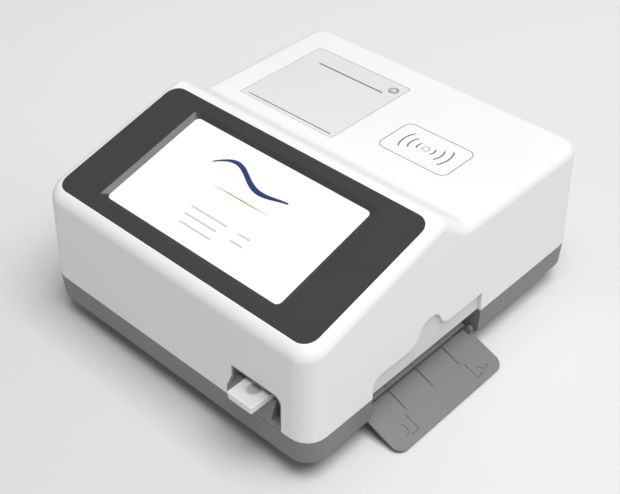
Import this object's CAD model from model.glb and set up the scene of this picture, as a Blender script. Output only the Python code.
"""Looks of the bench-top chemistry analyzer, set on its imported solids."""
import math

import bmesh
import bpy
from mathutils import Matrix, Vector


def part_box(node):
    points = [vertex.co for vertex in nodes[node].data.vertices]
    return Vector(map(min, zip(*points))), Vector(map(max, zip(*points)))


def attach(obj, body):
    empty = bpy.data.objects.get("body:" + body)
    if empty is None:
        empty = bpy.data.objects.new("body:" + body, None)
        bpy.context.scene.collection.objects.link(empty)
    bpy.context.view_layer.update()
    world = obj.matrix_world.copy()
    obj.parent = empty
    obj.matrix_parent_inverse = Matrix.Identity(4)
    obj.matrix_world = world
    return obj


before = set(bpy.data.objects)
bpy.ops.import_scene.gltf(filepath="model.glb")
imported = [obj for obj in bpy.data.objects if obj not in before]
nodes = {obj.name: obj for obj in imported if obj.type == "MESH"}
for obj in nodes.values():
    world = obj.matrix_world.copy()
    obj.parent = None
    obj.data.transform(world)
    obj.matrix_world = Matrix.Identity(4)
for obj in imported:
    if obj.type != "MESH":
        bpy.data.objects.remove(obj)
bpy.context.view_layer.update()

scene = bpy.context.scene

# Base tray. The lower half of the housing is one mid-grey ABS moulding with a fine
# spark-eroded grain from its mould. Four screws come up through it into the casing.
DRIFT_SCALE = 18.0
DRIFT_DETAIL = 3.0


def new_group(name, kind, takes, gives):
    """A node group with named sockets: its tree, what it takes and what it gives."""
    group = bpy.data.node_groups.new(name, kind)
    for way, sockets in (('INPUT', takes), ('OUTPUT', gives)):
        for label, sort in sockets.items():
            group.interface.new_socket(label, in_out=way, socket_type="NodeSocket" + sort)
    taken = group.nodes.new("NodeGroupInput").outputs
    given = group.nodes.new("NodeGroupOutput").inputs
    return group, taken, given


def speckle(tree, where, scale, detail=2.0):
    """A soft noise over the surface, from 0 to 1."""
    noise = tree.nodes.new("ShaderNodeTexNoise")
    noise.inputs["Scale"].default_value = scale
    noise.inputs["Detail"].default_value = detail
    tree.links.new(where, noise.inputs["Vector"])
    return noise.outputs["Fac"]


grain, taken, given = new_group("moulded grain", 'ShaderNodeTree',
                                {"Vector": "Vector", "Scale": "Float"},
                                {"Height": "Float", "Tone": "Float"})
pits = speckle(grain, taken["Vector"], scale=1.0)
drift = speckle(grain, taken["Vector"], DRIFT_SCALE, DRIFT_DETAIL)
grain.links.new(taken["Scale"], pits.node.inputs["Scale"])
grain.links.new(pits, given["Height"])
grain.links.new(drift, given["Tone"])

SKIN_SPREAD = 0.04
GRAIN_STRENGTH = 0.35


def new_finish(name):
    """A finish to fill in: the material, its tree, its shader and the place on the piece."""
    made = bpy.data.materials.new(name)
    made.use_nodes = True
    tree = made.node_tree
    place = tree.nodes.new("ShaderNodeTexCoord")
    return made, tree, tree.nodes["Principled BSDF"], place.outputs["Object"]


def mixed(tree, dark, light, share):
    """Two tones mixed by a value that changes over the surface."""
    tint = tree.nodes.new("ShaderNodeMix")
    tint.data_type = 'RGBA'
    tint.inputs["A"].default_value = (*dark, 1)
    tint.inputs["B"].default_value = (*light, 1)
    tree.links.new(share, tint.inputs["Factor"])
    return tint.outputs["Result"]


def between(tree, least, most, share):
    """A value from 0 to 1 brought between two limits."""
    limits = tree.nodes.new("ShaderNodeMapRange")
    limits.inputs["To Min"].default_value = least
    limits.inputs["To Max"].default_value = most
    tree.links.new(share, limits.inputs["Value"])
    return limits.outputs["Result"]


def raised(tree, height, strength, depth):
    """The normals of a very fine relief."""
    relief = tree.nodes.new("ShaderNodeBump")
    relief.inputs["Strength"].default_value = strength
    relief.inputs["Distance"].default_value = depth
    tree.links.new(height, relief.inputs["Height"])
    return relief.outputs["Normal"]


def moulding(name, dark, light, roughness, scale, depth):
    """A moulded plastic: two close tones, a fine grain and a satin skin."""
    made, tree, shader, where = new_finish(name)
    skin = tree.nodes.new("ShaderNodeGroup")
    skin.node_tree = grain
    skin.inputs["Scale"].default_value = scale
    tree.links.new(where, skin.inputs["Vector"])
    tone = skin.outputs["Tone"]
    gloss = between(tree, roughness - SKIN_SPREAD, roughness + SKIN_SPREAD, tone)
    relief = raised(tree, skin.outputs["Height"], GRAIN_STRENGTH, depth)
    tree.links.new(mixed(tree, dark, light, tone), shader.inputs["Base Color"])
    tree.links.new(gloss, shader.inputs["Roughness"])
    tree.links.new(relief, shader.inputs["Normal"])
    return made


grey_base = moulding("grey base", dark=(0.198, 0.198, 0.202), light=(0.215, 0.215, 0.219),
                     roughness=0.5, scale=2600, depth=0.00005)

# The solids arrive as loose facets: they are joined again, flat areas are made
# whole, and round ones shade smoothly up to a real edge.
WELD_REACH = 0.000001
FLAT_WITHIN = math.radians(0.2)
LARGE_FACES_ONLY = 100
round_shading, taken, given = new_group("round shading", 'GeometryNodeTree',
                                        {"Geometry": "Geometry", "Angle": "Float"},
                                        {"Geometry": "Geometry"})
sharp_from = round_shading.interface.items_tree["Angle"].identifier
forget = round_shading.nodes.new("GeometryNodeRemoveAttribute")
forget.inputs["Name"].default_value = "custom_normal"
faces = round_shading.nodes.new("GeometryNodeSetShadeSmooth")
faces.domain = 'FACE'
edges = round_shading.nodes.new("GeometryNodeSetShadeSmooth")
edges.domain = 'EDGE'
fold = round_shading.nodes.new("GeometryNodeInputMeshEdgeAngle")
limit = round_shading.nodes.new("ShaderNodeMath")
limit.operation = 'RADIANS'
gentle = round_shading.nodes.new("FunctionNodeCompare")
gentle.data_type = 'FLOAT'
gentle.operation = 'LESS_THAN'
for source, target in ((taken["Geometry"], forget.inputs["Geometry"]),
                       (forget.outputs["Geometry"], faces.inputs["Geometry"]),
                       (faces.outputs["Geometry"], edges.inputs["Geometry"]),
                       (taken["Angle"], limit.inputs[0]),
                       (fold.outputs["Unsigned Angle"], gentle.inputs["A"]),
                       (limit.outputs["Value"], gentle.inputs["B"]),
                       (gentle.outputs["Result"], edges.inputs["Shade Smooth"]),
                       (edges.outputs["Geometry"], given["Geometry"])):
    round_shading.links.new(source, target)


def dress(made, *names, sharp=33.0):
    """Gives solids their material and smooths what is round on them."""
    for name in names:
        solid = nodes[name]
        for slot in solid.material_slots:
            slot.link = 'OBJECT'
            slot.material = made
        weld = solid.modifiers.new("weld", 'WELD')
        weld.merge_threshold = WELD_REACH
        whole = solid.modifiers.new("whole flats", 'DECIMATE')
        whole.decimate_type = 'DISSOLVE'
        whole.angle_limit = FLAT_WITHIN
        shade = solid.modifiers.new("round shading", 'NODES')
        shade.node_group = round_shading
        shade[sharp_from] = sharp
        flats = solid.modifiers.new("flat stays flat", 'WEIGHTED_NORMAL')
        flats.mode = 'FACE_AREA'
        flats.weight = LARGE_FACES_ONLY
        flats.keep_sharp = True


# The ramp behind the door is rubbed paler by the strips that slide over it.
EDGE_SOFTNESS = 0.00005
inside, taken, given = new_group("inside a block", 'ShaderNodeTree',
                                 {"Vector": "Vector", "Low": "Vector", "High": "Vector"},
                                 {"Mask": "Float"})
within = None
for near, far in (("Vector", "Low"), ("High", "Vector")):
    apart = inside.nodes.new("ShaderNodeVectorMath")
    apart.operation = 'SUBTRACT'
    inside.links.new(taken[near], apart.inputs[0])
    inside.links.new(taken[far], apart.inputs[1])
    sides = inside.nodes.new("ShaderNodeSeparateXYZ")
    inside.links.new(apart.outputs["Vector"], sides.inputs["Vector"])
    for axis in "XYZ":
        ramp = inside.nodes.new("ShaderNodeMapRange")
        ramp.inputs["From Min"].default_value = -EDGE_SOFTNESS
        ramp.inputs["From Max"].default_value = EDGE_SOFTNESS
        inside.links.new(sides.outputs[axis], ramp.inputs["Value"])
        if within is None:
            within = ramp.outputs["Result"]
            continue
        both = inside.nodes.new("ShaderNodeMath")
        both.operation = 'MULTIPLY'
        inside.links.new(within, both.inputs[0])
        inside.links.new(ramp.outputs["Result"], both.inputs[1])
        within = both.outputs["Value"]
inside.links.new(within, given["Mask"])


def lay_over(made, mask, colour):
    """Lays another tone over a finish where a mask says."""
    tree = made.node_tree
    target = tree.nodes["Principled BSDF"].inputs["Base Color"]
    over = tree.nodes.new("ShaderNodeMix")
    over.data_type = 'RGBA'
    over.inputs["B"].default_value = (*colour, 1)
    tree.links.new(target.links[0].from_socket, over.inputs["A"])
    tree.links.new(mask, over.inputs["Factor"])
    tree.links.new(over.outputs["Result"], target)


def tone_inside(made, low, high, colour, tilt=0.0):
    """Another tone on the surfaces inside a block, tilted about the Y axis if asked."""
    tree = made.node_tree
    block = tree.nodes.new("ShaderNodeGroup")
    block.node_tree = inside
    block.inputs["Low"].default_value = low
    block.inputs["High"].default_value = high
    turned = tree.nodes.new("ShaderNodeMapping")
    turned.inputs["Rotation"].default_value = (0.0, tilt, 0.0)
    place = tree.nodes["Texture Coordinate"]
    tree.links.new(place.outputs["Object"], turned.inputs["Vector"])
    tree.links.new(turned.outputs["Vector"], block.inputs["Vector"])
    lay_over(made, block.outputs["Mask"], colour)


RAMP_LOW = (0.0990, -0.0812, -0.0100)
RAMP_HIGH = (0.1172, 0.0288, 0.0135)
RAMP_TONE = (0.35, 0.35, 0.355)
tone_inside(grey_base, RAMP_LOW, RAMP_HIGH, RAMP_TONE)
dress(grey_base, "base_tray")

# Feet. Four round pads of soft black rubber, matt and a little dusty, held to the
# underside of the tray.
black_rubber = moulding("black rubber", dark=(0.02, 0.02, 0.02), light=(0.03, 0.03, 0.03),
                        roughness=0.75, scale=1800, depth=0.00006)
dress(black_rubber, "foot_front_left", "foot_rear_left", "foot_front_right",
      "foot_rear_right")

# Main board and reader board. Glass-fibre boards under green solder mask, with
# copper tracks showing through as slightly lighter lines; both are screwed down.
solder_mask, tree, shader, where = new_finish("solder mask")
shader.inputs["Roughness"].default_value = 0.35
tracks = tree.nodes.new("ShaderNodeTexBrick")
tracks.inputs["Scale"].default_value = 120.0
tracks.inputs["Mortar Size"].default_value = 0.03
tracks.inputs["Color1"].default_value = (0.012, 0.10, 0.035, 1)
tracks.inputs["Color2"].default_value = (0.015, 0.12, 0.04, 1)
tracks.inputs["Mortar"].default_value = (0.05, 0.26, 0.11, 1)
tree.links.new(where, tracks.inputs["Vector"])
tree.links.new(tracks.outputs["Color"], shader.inputs["Base Color"])
dress(solder_mask, "main_board", "reader_board")

# Sockets. The USB and network sockets are folded shells of bright tinned steel
# soldered to the main board, with the fine lines of rolled sheet.
LINE_SCALES = (60, 1500, 1500)
LINE_DETAIL = 4.0
LINE_SHADE = 0.88
LINE_SPREAD = 0.08
LINE_STRENGTH = 0.2
LINE_DEPTH = 0.00001


def tooled_metal(name, colour, roughness):
    """A bare metal with the fine lines of rolling, turning or milling."""
    made, tree, shader, where = new_finish(name)
    shader.inputs["Metallic"].default_value = 1.0
    stretch = tree.nodes.new("ShaderNodeMapping")
    stretch.inputs["Scale"].default_value = LINE_SCALES
    tree.links.new(where, stretch.inputs["Vector"])
    lines = speckle(tree, stretch.outputs["Vector"], scale=1.0, detail=LINE_DETAIL)
    dark = [LINE_SHADE * part for part in colour]
    gloss = between(tree, roughness - LINE_SPREAD, roughness + LINE_SPREAD, lines)
    relief = raised(tree, lines, LINE_STRENGTH, LINE_DEPTH)
    tree.links.new(mixed(tree, dark, colour, lines), shader.inputs["Base Color"])
    tree.links.new(gloss, shader.inputs["Roughness"])
    tree.links.new(relief, shader.inputs["Normal"])
    return made


dress(tooled_metal("tinned steel", colour=(0.66, 0.66, 0.66), roughness=0.3),
      "usb_socket_1", "usb_socket_2", "network_socket")

# Power inlet, switch and rocker. Glossier black polycarbonate mouldings that snap
# into the rear wall; the rocker tips on two small pins of its own.
black_moulding = moulding("black moulding", dark=(0.04, 0.04, 0.042),
                          light=(0.05, 0.05, 0.052), roughness=0.4, scale=3200, depth=0.00003)
rocker_cap = moulding("rocker cap", dark=(0.05, 0.05, 0.055), light=(0.065, 0.065, 0.07),
                      roughness=0.36, scale=3200, depth=0.00002)
dress(black_moulding, "power_inlet", "power_switch")
dress(rocker_cap, "power_rocker")

# Slot guide. A lipped collar of the tray's own grey ABS that clips behind the
# front wall and leads the cassette into its carrier.
dress(grey_base, "slot_guide")

# Cassette drawer. A black nylon carrier runs on a ground steel rail; a brass
# pinion on a small motor drives its rack, all on one folded steel chassis.
black_nylon = moulding("black nylon", dark=(0.05, 0.05, 0.055), light=(0.065, 0.065, 0.07),
                       roughness=0.5, scale=2800, depth=0.00004)
rolled_steel = tooled_metal("rolled steel", colour=(0.62, 0.62, 0.63), roughness=0.32)
cut_brass = tooled_metal("cut brass", colour=(0.72, 0.53, 0.22), roughness=0.3)
dress(black_nylon, "cassette_carrier")
dress(rolled_steel, "slide_rail", "drive_chassis", "drawer_motor")
dress(cut_brass, "drawer_pinion")

# Incubator. A milled aluminium block with wells for the tests, screwed down over
# a thin mat of black silicone rubber that holds its heater wires.
milled_aluminium = tooled_metal("milled aluminium", colour=(0.72, 0.73, 0.74), roughness=0.38)
dress(milled_aluminium, "incubator_block")
dress(black_rubber, "heater_mat")

# Optics. A steel bridge carries the black scanning head over the cassette, with a
# turned and polished glass lens pressed into its lower face.
polished_glass, tree, shader, where = new_finish("polished glass")
shader.inputs["Base Color"].default_value = (0.97, 0.98, 0.98, 1)
shader.inputs["Transmission Weight"].default_value = 1.0
shader.inputs["IOR"].default_value = 1.5
polish = between(tree, least=0.02, most=0.06, share=speckle(tree, where, scale=40.0))
tree.links.new(polish, shader.inputs["Roughness"])
dress(rolled_steel, "optics_bridge")
dress(black_nylon, "optics_head")
dress(polished_glass, "scan_lens")

# Printer. A pale moulded tray hangs under the rear deck with the motor, its two
# nylon gears, the rubber platen on a steel shaft, the print head and a tear bar.
pale_grey = moulding("pale grey", dark=(0.70, 0.70, 0.705), light=(0.73, 0.73, 0.73),
                     roughness=0.45, scale=2600, depth=0.00004)
dress(pale_grey, "printer_tray")
dress(rolled_steel, "platen_shaft", "print_motor", "tear_bar")
dress(black_nylon, "platen_gear", "print_drive_gear")
dress(black_moulding, "print_head")
dress(black_rubber, "platen_roller")

# Paper roll. Smooth coated thermal paper wound tight on a white moulded core; the
# edges of its turns show as fine rings on the two ends.
low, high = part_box("paper_roll")
ROLL_MIDDLE = (0.0, (low[1] + high[1]) / 2, (low[2] + high[2]) / 2)
TURNS_PER_METRE = 9000.0


def reach_from(tree, where, middle, axes=(1.0, 1.0, 1.0)):
    """How far the surface is from a point, along the axes that count."""
    counted = tree.nodes.new("ShaderNodeVectorMath")
    counted.operation = 'MULTIPLY'
    counted.inputs[1].default_value = axes
    reach = tree.nodes.new("ShaderNodeVectorMath")
    reach.operation = 'DISTANCE'
    reach.inputs[1].default_value = middle
    tree.links.new(where, counted.inputs[0])
    tree.links.new(counted.outputs["Vector"], reach.inputs[0])
    return reach.outputs["Value"]


paper, tree, shader, where = new_finish("thermal paper")
shader.inputs["Roughness"].default_value = 0.7
turns = tree.nodes.new("ShaderNodeTexNoise")
turns.noise_dimensions = '1D'
turns.inputs["Scale"].default_value = TURNS_PER_METRE
tree.links.new(reach_from(tree, where, ROLL_MIDDLE, axes=(0.0, 1.0, 1.0)), turns.inputs["W"])
wound = mixed(tree, dark=(0.76, 0.76, 0.74), light=(0.88, 0.88, 0.87),
              share=turns.outputs["Fac"])
tree.links.new(wound, shader.inputs["Base Color"])
white_core = moulding("white core", dark=(0.80, 0.80, 0.805), light=(0.83, 0.83, 0.83),
                      roughness=0.4, scale=3600, depth=0.00002)
dress(paper, "paper_roll")
dress(white_core, "roll_core")

# Upper casing. The white top half is one thick ABS moulding with a fine grain.
# The seat that the closed door covers keeps a coarser, duller surface.
SEAT_LOW = (0.1175, -0.0815, 0.0)
SEAT_HIGH = (0.1208, 0.0300, 0.0530)
SEAT_TONE = (0.705, 0.705, 0.71)
white_casing = moulding("white casing", dark=(0.83, 0.83, 0.835), light=(0.86, 0.86, 0.86),
                        roughness=0.42, scale=2600, depth=0.00004)
tone_inside(white_casing, SEAT_LOW, SEAT_HIGH, SEAT_TONE)
dress(white_casing, "upper_casing")

# Case screws. Four zinc-plated steel screws, driven up from under the tray into
# the posts of the upper casing.
zinc_plate = tooled_metal("zinc plate", colour=(0.60, 0.61, 0.63), roughness=0.34)
dress(zinc_plate, "case_screw_front_left", "case_screw_rear_left",
      "case_screw_front_right", "case_screw_rear_right")

# Printer lid. A pale grey ABS flap on two steel pins, with a fine dark line scored
# along its hinge side where it bends over the roll.
low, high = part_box("printer_lid")
TOP_SKIN = 0.0003
SCORE_INSET = 0.0034
SCORE_HALF = 0.0012
SCORE_DEPTH = 0.0010
SCORE_END = 0.001
SCORE_TONE = (0.22, 0.22, 0.225)
lid_grey = moulding("lid grey", dark=(0.70, 0.70, 0.705), light=(0.73, 0.73, 0.73),
                    roughness=0.45, scale=2600, depth=0.00004)
tone_inside(lid_grey,
            (low[0] + SCORE_END, low[1] + SCORE_INSET - SCORE_HALF, high[2] - SCORE_DEPTH),
            (high[0] - SCORE_END, low[1] + SCORE_INSET + SCORE_HALF, high[2] - TOP_SKIN),
            SCORE_TONE)
dress(lid_grey, "printer_lid")
dress(rolled_steel, "lid_pin_left", "lid_pin_right")

# Lid button. A small round dished cap of the lid's own plastic, pressed to free
# the catch; its dished rim is a darker grey around a clean middle.
low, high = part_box("lid_button")
BUTTON_MIDDLE = ((low[0] + high[0]) / 2, (low[1] + high[1]) / 2)
BUTTON_CLEAN = 0.0010
BUTTON_RIM = 0.0024
BUTTON_TONE = (0.40, 0.40, 0.405)


def eased(tree, value, clear, full):
    """Comes in smoothly between two measures: 0 at the clear one, 1 at the full one."""
    ease = tree.nodes.new("ShaderNodeMapRange")
    ease.interpolation_type = 'SMOOTHSTEP'
    ease.inputs["From Min"].default_value = min(clear, full)
    ease.inputs["From Max"].default_value = max(clear, full)
    ease.inputs["To Min"].default_value = float(full < clear)
    ease.inputs["To Max"].default_value = float(full > clear)
    tree.links.new(value, ease.inputs["Value"])
    return ease.outputs["Result"]


def tone_around(made, middle, clear, full, colour):
    """Another tone that comes in between two distances from an upright axis."""
    tree = made.node_tree
    where = tree.nodes["Texture Coordinate"].outputs["Object"]
    reach = reach_from(tree, where, (*middle, 0.0), axes=(1.0, 1.0, 0.0))
    lay_over(made, eased(tree, reach, clear, full), colour)


button_cap = moulding("button cap", dark=(0.66, 0.66, 0.665), light=(0.70, 0.70, 0.70),
                      roughness=0.45, scale=2600, depth=0.00004)
tone_around(button_cap, BUTTON_MIDDLE, BUTTON_CLEAN, BUTTON_RIM, BUTTON_TONE)
dress(button_cap, "lid_button")

# Reader mark. It is pad-printed in grey ink on the rear deck: a rounded frame with
# plain arcs on either side of a ring, all a twentieth of a millimetre high.
INK_HEIGHT = 0.00005
INK_SUNK = 0.00002
DECK_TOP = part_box("printer_lid")[1][2]
MARK_MIDDLE = (0.04855, 0.05550)
FRAME_LENGTH = 0.0578
FRAME_DEPTH = 0.0365
FRAME_CORNER = 0.0062
FRAME_LINE = 0.0005
ARC_REACHES = (0.0067, 0.0128, 0.0190)
ARC_LINE = 0.00095
ARC_HALF_TURN = math.radians(30)
ARC_STEPS = 16
RING_REACH = 0.0026
RING_LINE = 0.0008
RING_STEPS = 24


def flat_sheet(half=0.5, steps=1):
    """A flat square in the middle of the ground plane, in steps across."""
    bm = bmesh.new()
    bmesh.ops.create_grid(bm, x_segments=steps, y_segments=1, size=half)
    return bm


def thicken(bm, thickness):
    """Gives a flat outline its thickness, from the ground plane upwards."""
    bmesh.ops.solidify(bm, geom=bm.faces[:], thickness=thickness)
    bmesh.ops.recalc_face_normals(bm, faces=bm.faces[:])
    bottom = min(corner.co.z for corner in bm.verts)
    bmesh.ops.translate(bm, verts=bm.verts[:], vec=(0, 0, -bottom))


def finished(name, bm, finish):
    """Puts a worked mesh in the scene with its finish on it."""
    mesh = bpy.data.meshes.new(name)
    bm.to_mesh(mesh)
    bm.free()
    mesh.materials.append(finish)
    piece = bpy.data.objects.new(name, mesh)
    scene.collection.objects.link(piece)
    return piece


def arc_line(reach, line, start, turn, steps):
    """A flat line round the middle, through part of a turn or closed after a whole one."""
    bm = bmesh.new()
    ends = [bm.verts.new((reach + side * line / 2, 0, 0)) for side in (-1, 1)]
    stroke = bm.edges.new(ends)
    bmesh.ops.rotate(bm, verts=ends, cent=(0, 0, 0), matrix=Matrix.Rotation(start, 3, 'Z'))
    bmesh.ops.spin(bm, geom=[*ends, stroke], cent=(0, 0, 0), axis=(0, 0, 1), dvec=(0, 0, 0),
                   angle=turn, steps=steps, use_duplicate=False,
                   use_merge=(turn == math.tau))
    return bm


def print_on_deck(name, bm, ink):
    """Prints a flat outline on the deck."""
    thicken(bm, INK_HEIGHT + INK_SUNK)
    bmesh.ops.translate(bm, verts=bm.verts[:], vec=(*MARK_MIDDLE, DECK_TOP - INK_SUNK))
    printed = finished(name, bm, ink)
    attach(printed, "housing")


dark_ink = moulding("dark ink", dark=(0.055, 0.055, 0.06), light=(0.075, 0.075, 0.08),
                    roughness=0.55, scale=3000, depth=0.00001)
faint_ink = moulding("faint ink", dark=(0.42, 0.42, 0.43), light=(0.46, 0.46, 0.47),
                     roughness=0.55, scale=3000, depth=0.00001)

bm = flat_sheet()
bmesh.ops.scale(bm, verts=bm.verts[:], vec=(FRAME_LENGTH, FRAME_DEPTH, 1))
bmesh.ops.bevel(bm, geom=bm.verts[:], affect='VERTICES', offset=FRAME_CORNER,
                offset_type='OFFSET', segments=8, profile=0.5, material=-1)
border = bmesh.ops.inset_region(bm, faces=bm.faces[:], thickness=FRAME_LINE,
                                use_boundary=True, use_even_offset=True)["faces"]
bmesh.ops.delete(bm, geom=[face for face in bm.faces if face not in border],
                 context='FACES')
print_on_deck("reader_frame", bm, dark_ink)

for side in range(2):
    for number, arc_reach in enumerate(ARC_REACHES):
        arc = arc_line(arc_reach, ARC_LINE, math.pi * side - ARC_HALF_TURN,
                       2 * ARC_HALF_TURN, ARC_STEPS)
        print_on_deck("reader_arc_%d_%d" % (side, number), arc, dark_ink)

ring = arc_line(RING_REACH, RING_LINE, 0, math.tau, RING_STEPS)
print_on_deck("reader_ring", ring, faint_ink)

# Display. A lit liquid-crystal panel lies in a folded steel bracket behind a
# bonded cover glass; its white page is very slightly uneven.
PAGE_GLOW = 1.08
lit_panel, tree, shader, where = new_finish("lit panel")
shader.inputs["Base Color"].default_value = (0.05, 0.05, 0.055, 1)
shader.inputs["Roughness"].default_value = 0.4
shader.inputs["Emission Strength"].default_value = PAGE_GLOW
page_white = mixed(tree, dark=(0.99, 0.985, 0.985), light=(1.0, 1.0, 1.0),
                   share=speckle(tree, where, scale=12.0))
tree.links.new(page_white, shader.inputs["Emission Color"])
dress(lit_panel, "display_panel")
dress(rolled_steel, "display_bracket")
dress(polished_glass, "touch_glass")

# Page on the display. A plain blue wave, a thin orange rule and rows of blank grey
# bars, each a lit patch less than a tenth of a millimetre high on the panel.
SCREEN_TILT = math.radians(14.93)
PANEL_THICKNESS = 0.0044
PAGE_WIDTH = 0.155
PAGE_HEIGHT = 0.0851
PATCH_HEIGHT = 0.00008
PATCH_SUNK = 0.00002
PATCH_SHADE = 0.9
low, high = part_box("display_panel")
slope = Vector((0, math.cos(SCREEN_TILT), math.sin(SCREEN_TILT)))
lift = Vector((0, -math.sin(SCREEN_TILT), math.cos(SCREEN_TILT)))
lower_edge = Vector((0, low[1], low[2] + PANEL_THICKNESS * math.cos(SCREEN_TILT)))
panel_length = (high[2] - lower_edge.z) / math.sin(SCREEN_TILT)
page_corner = lower_edge + slope * (panel_length + PAGE_HEIGHT) / 2
page_corner = page_corner - Vector((PAGE_WIDTH / 2, 0, 0)) - lift * PATCH_SUNK
page_plane = Matrix((Vector((1, 0, 0)), slope, lift)).transposed().to_4x4()
page_plane.translation = page_corner


def page_patch(name, bm, colour):
    """Sets a flat outline, in shares across and up the page, on the panel."""
    bmesh.ops.scale(bm, verts=bm.verts[:], vec=(PAGE_WIDTH, PAGE_HEIGHT, 1))
    thicken(bm, PATCH_HEIGHT + PATCH_SUNK)
    bmesh.ops.transform(bm, verts=bm.verts[:], matrix=page_plane)
    lit, tree, shader, where = new_finish(name)
    shader.inputs["Roughness"].default_value = 0.4
    shader.inputs["Emission Strength"].default_value = 1.0
    dark = [PATCH_SHADE * part for part in colour]
    tint = mixed(tree, dark, colour, speckle(tree, where, scale=400.0))
    tree.links.new(tint, shader.inputs["Base Color"])
    tree.links.new(tint, shader.inputs["Emission Color"])
    patch = finished(name, bm, lit)
    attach(patch, "housing")


def page_stroke(name, steps, route, thin, swell, colour):
    """A stroke across the page that swells from thin ends to its middle."""
    bm = flat_sheet(steps=steps)
    for corner in bm.verts:
        share = corner.co.x + 0.5
        across, down = route(share)
        half = thin + swell * math.sin(share * math.pi)
        corner.co = (across, -down + math.copysign(half, corner.co.y), 0)
    page_patch(name, bm, colour)


WAVE_LEFT = 0.24
WAVE_LENGTH = 0.44
WAVE_DOWN = 0.27
WAVE_SWING = 0.10
WAVE_FADE = 1.15
WAVE_BLUE = (0.002, 0.014, 0.10)
page_stroke("page_wave", 40,
            lambda share: (WAVE_LEFT + WAVE_LENGTH * share,
                           WAVE_DOWN - WAVE_SWING * math.sin(share * math.tau)
                           * (WAVE_FADE - share)),
            thin=0.008, swell=0.016, colour=WAVE_BLUE)

RULE_LEFT = 0.335
RULE_LENGTH = 0.325
RULE_DOWN = 0.441
RULE_RISE = 0.004
RULE_ORANGE = (0.44, 0.19, 0.06)
page_stroke("page_rule", 16,
            lambda share: (RULE_LEFT + RULE_LENGTH * share, RULE_DOWN - RULE_RISE * share),
            thin=0.0006, swell=0.005, colour=RULE_ORANGE)

BAR_ENDS = ((0.342, 0.554), (0.345, 0.528), (0.36, 0.54))
VALUE_ENDS = ((0.612, 0.68), (0.612, 0.68))
BAR_HEIGHT = 0.016
BAR_DOWN = 0.685
ROW_STEP = 0.079
BAR_GREY = (0.42, 0.42, 0.43)
for kind, rows in (("bar", BAR_ENDS), ("value", VALUE_ENDS)):
    for row, (left, right) in enumerate(rows):
        bar = flat_sheet()
        bmesh.ops.scale(bar, verts=bar.verts[:], vec=(right - left, BAR_HEIGHT, 1))
        bmesh.ops.translate(bar, verts=bar.verts[:],
                            vec=((left + right) / 2, -(BAR_DOWN + ROW_STEP * row), 0))
        page_patch("page_%s_%d" % (kind, row), bar, BAR_GREY)

# Screen bezel. A charcoal polycarbonate frame bonded into its seat in the casing,
# with a sloping edge all round the window.
charcoal_bezel = moulding("charcoal bezel", dark=(0.038, 0.037, 0.039),
                          light=(0.046, 0.045, 0.047), roughness=0.32, scale=3200,
                          depth=0.00003)
dress(charcoal_bezel, "screen_bezel", sharp=20.0)

# Incubator door. A thin grey ABS flap, a shade darker than the base beside it; it
# hangs on two turned steel pins and lies open. Dust darkens its lane grooves and marks.
low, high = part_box("incubator_door")
DOOR_SLOPE = math.radians(21.6)
DOOR_FACE = 0.04161
DOOR_MARGIN = 0.001
GROOVE_START = 0.1052
GROOVE_END = 0.1275
GROOVE_DEPTH = 0.0018
GROOVE_SKIN = 0.0002
GROOVE_TONE = (0.075, 0.075, 0.077)
MARK_END = 0.1400
MARK_DEPTH = 0.0010
MARK_SKIN = 0.0001
MARK_TONE = (0.12, 0.12, 0.122)
grey_door = moulding("grey door", dark=(0.185, 0.185, 0.19), light=(0.198, 0.198, 0.2),
                     roughness=0.5, scale=2600, depth=0.00005)
for start, end, depth, skin, tone in (
        (GROOVE_START, GROOVE_END, GROOVE_DEPTH, GROOVE_SKIN, GROOVE_TONE),
        (GROOVE_END, MARK_END, MARK_DEPTH, MARK_SKIN, MARK_TONE)):
    tone_inside(grey_door, (start, low[1] + DOOR_MARGIN, DOOR_FACE - depth),
                (end, high[1] - DOOR_MARGIN, DOOR_FACE - skin), tone, tilt=-DOOR_SLOPE)
dress(grey_door, "incubator_door")
dress(rolled_steel, "door_pin_front", "door_pin_rear")

# Test cassette. A thin snap-together case of white polystyrene, with a sample well
# near its front end; light passing through it makes its cut edges paler.
low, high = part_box("test_cassette")
PAST_EDGES = 0.001
EDGE_TONE = (0.86, 0.86, 0.865)
WELL_MIDDLE = (0.0775, -0.1387)
WELL_CLEAR = 0.0062
WELL_FULL = 0.0034
WELL_TONE = (0.40, 0.40, 0.405)
white_cassette = moulding("white cassette", dark=(0.60, 0.60, 0.605),
                          light=(0.63, 0.63, 0.63), roughness=0.4, scale=3600, depth=0.00002)
tone_inside(white_cassette, (low[0] - PAST_EDGES, low[1] - PAST_EDGES, low[2] - PAST_EDGES),
            (high[0] + PAST_EDGES, high[1] + PAST_EDGES, high[2] - TOP_SKIN), EDGE_TONE)
tone_around(white_cassette, WELL_MIDDLE, WELL_CLEAR, WELL_FULL, WELL_TONE)
dress(white_cassette, "test_cassette")

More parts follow.
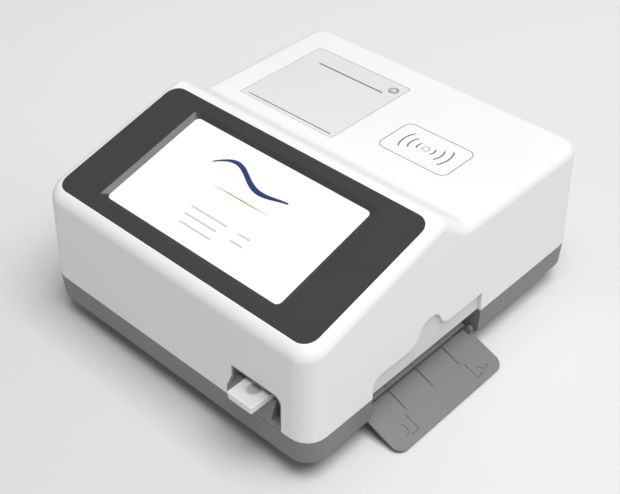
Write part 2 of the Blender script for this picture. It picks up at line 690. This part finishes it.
# Bench. The object stands on a seamless pale studio sweep, matt and faintly
# mottled, a little greyer in front and paler far behind, with no edge in view.
BENCH_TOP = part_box("foot_front_left")[0][2]
BENCH_HALF = 6.0
FRONT_MIDDLE = (-0.03, -0.27, BENCH_TOP)
FRONT_NEAR = 0.08
FRONT_FAR = 0.42
BESIDE_TONE = (0.72, 0.72, 0.723)
BEHIND_NEAR = -0.1
BEHIND_FAR = 0.75
BEHIND_TONE = (0.81, 0.81, 0.812)
studio_sweep, tree, shader, where = new_finish("studio sweep")
shader.inputs["Roughness"].default_value = 0.85
shader.inputs["Specular IOR Level"].default_value = 0.2
mottle = mixed(tree, dark=(0.635, 0.635, 0.64), light=(0.655, 0.655, 0.657),
               share=speckle(tree, where, scale=3.0))
tree.links.new(mottle, shader.inputs["Base Color"])
from_front = reach_from(tree, where, FRONT_MIDDLE)
lay_over(studio_sweep, eased(tree, from_front, FRONT_NEAR, FRONT_FAR), BESIDE_TONE)
split = tree.nodes.new("ShaderNodeSeparateXYZ")
tree.links.new(where, split.inputs["Vector"])
away = tree.nodes.new("ShaderNodeMath")
away.operation = 'SUBTRACT'
tree.links.new(split.outputs["Y"], away.inputs[0])
tree.links.new(split.outputs["X"], away.inputs[1])
lay_over(studio_sweep, eased(tree, away.outputs["Value"], BEHIND_NEAR, BEHIND_FAR), BEHIND_TONE)
bm = flat_sheet(half=BENCH_HALF)
bmesh.ops.translate(bm, verts=bm.verts[:], vec=(0, 0, BENCH_TOP))
finished("bench", bm, studio_sweep)

# Light. One large soft box hangs high over the right side and the pale room fills
# the rest, so the front is the darkest face.
ROOM_LEVEL = 0.258
SOFT_BOX_SIDE = 1.7
SOFT_BOX_POWER = 66.5
SOFT_BOX_PLACE = (0.84, -0.19, 2.35)
room = bpy.data.worlds.new("room")
room.use_nodes = True
glow = room.node_tree.nodes["Background"]
glow.inputs["Color"].default_value = (1.0, 1.0, 1.0, 1)
glow.inputs["Strength"].default_value = ROOM_LEVEL
scene.world = room
soft_box = bpy.data.lights.new("soft box", 'AREA')
soft_box.shape = 'SQUARE'
soft_box.size = SOFT_BOX_SIDE
soft_box.energy = SOFT_BOX_POWER
boom = bpy.data.objects.new("soft box", soft_box)
boom.location = SOFT_BOX_PLACE
boom.rotation_euler = (-boom.location).to_track_quat('-Z', 'Y').to_euler()
scene.collection.objects.link(boom)

# Camera. It stands right of the front, about 40 degrees above the bench, as far
# off as the photograph's own perspective says.
CAMERA_PLACE = (0.4325, -0.4695, 0.5446)
CAMERA_RISE = math.radians(39.17)
CAMERA_ROUND = math.radians(43.04)
FOCAL_LENGTH = 67.59
SENSOR_WIDTH = 36.0
lens = bpy.data.cameras.new("camera")
lens.sensor_fit = 'HORIZONTAL'
lens.sensor_width = SENSOR_WIDTH
lens.lens = FOCAL_LENGTH
camera = bpy.data.objects.new("camera", lens)
camera.location = CAMERA_PLACE
camera.rotation_euler = (math.pi / 2 - CAMERA_RISE, 0.0, CAMERA_ROUND)
scene.collection.objects.link(camera)
scene.camera = camera
scene.view_settings.view_transform = 'Standard'
